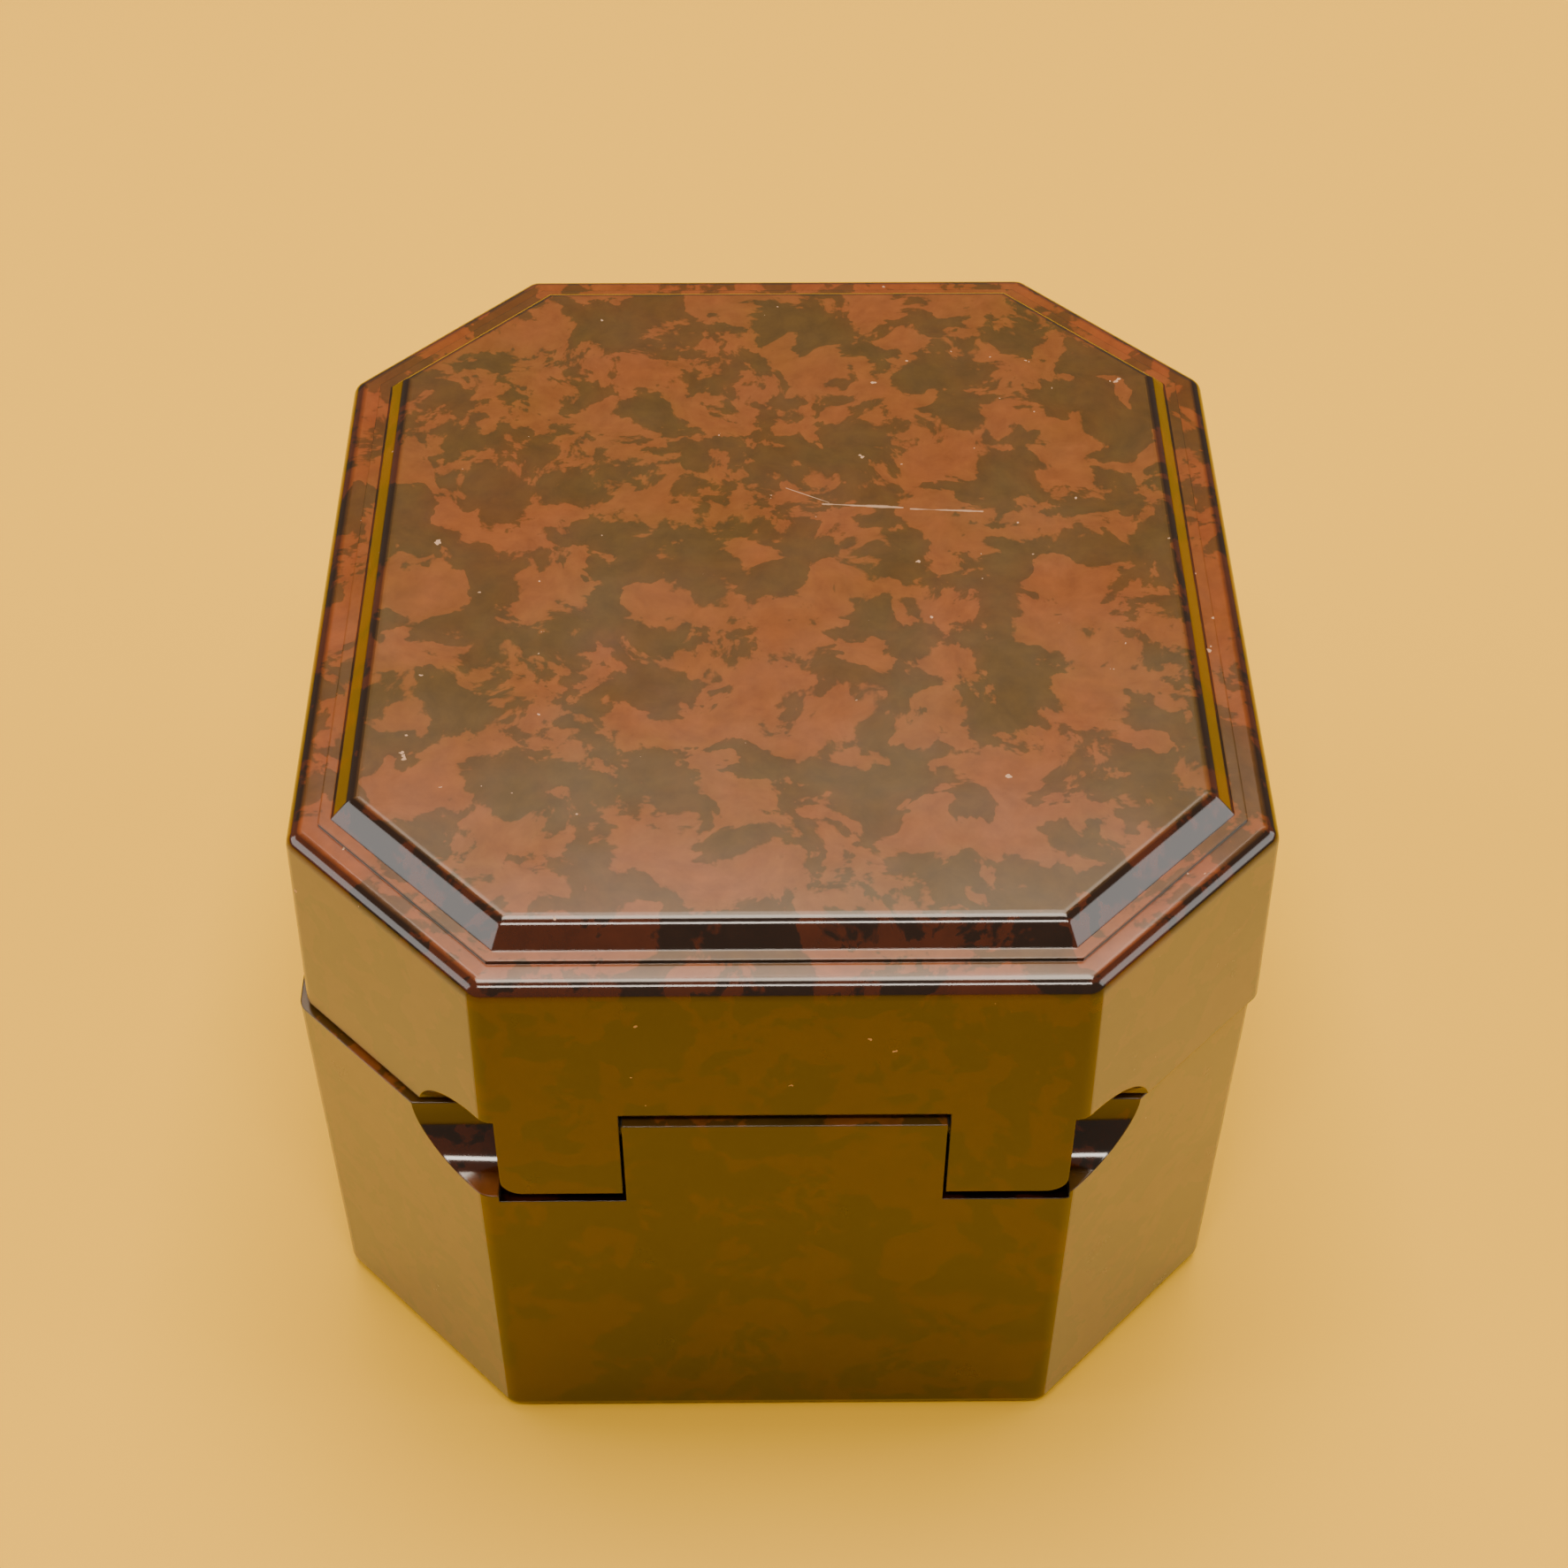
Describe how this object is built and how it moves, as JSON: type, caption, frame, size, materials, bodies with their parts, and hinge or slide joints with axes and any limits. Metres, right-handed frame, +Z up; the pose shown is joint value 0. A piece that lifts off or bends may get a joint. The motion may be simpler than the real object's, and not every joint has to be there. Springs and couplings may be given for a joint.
{
  "type": "rosin cake in a hinged case",
  "caption": "Eight-sided moulded case with a hinged lid, holding a round rosin cake wrapped in cloth on a felt pad for string bows.",
  "frame": {"origin": "middle of the underside of the closed case", "axes": "+Z up, +Y towards the lip where the lid opens, -Y towards the hinge"},
  "size_m": [0.0454, 0.0506, 0.0347],
  "materials": {
    "case_base": "moulded phenolic, mottled brown, polished",
    "case_lid": "moulded phenolic, mottled orange-brown and dark brown, polished",
    "pin_steel": "drawn steel",
    "spring_steel": "blued spring steel",
    "screw_brass": "turned brass",
    "felt": "pressed wool felt",
    "cloth": "short-pile cotton velvet",
    "rosin": "cast rosin, clear amber, scuffed on top"
  },
  "bodies": {
    "case_base": {"base_shell": "case_base", "hinge_pin": "pin_steel", "lid_spring": "spring_steel", "spring_screws": "screw_brass", "base_pad": "felt", "cake_cloth": "cloth", "rosin_cake": "rosin"},
    "case_lid": {"lid_shell": "case_lid", "lid_pad": "felt"}
  },
  "joints": [
    {"name": "lid_hinge", "type": "hinge", "parent": "case_base", "child": "case_lid", "pos_m": [0, -0.02295, 0.0218], "axis": [1, 0, 0], "range_deg": [0, 98], "deforming": ["lid_spring"]}
  ]
}
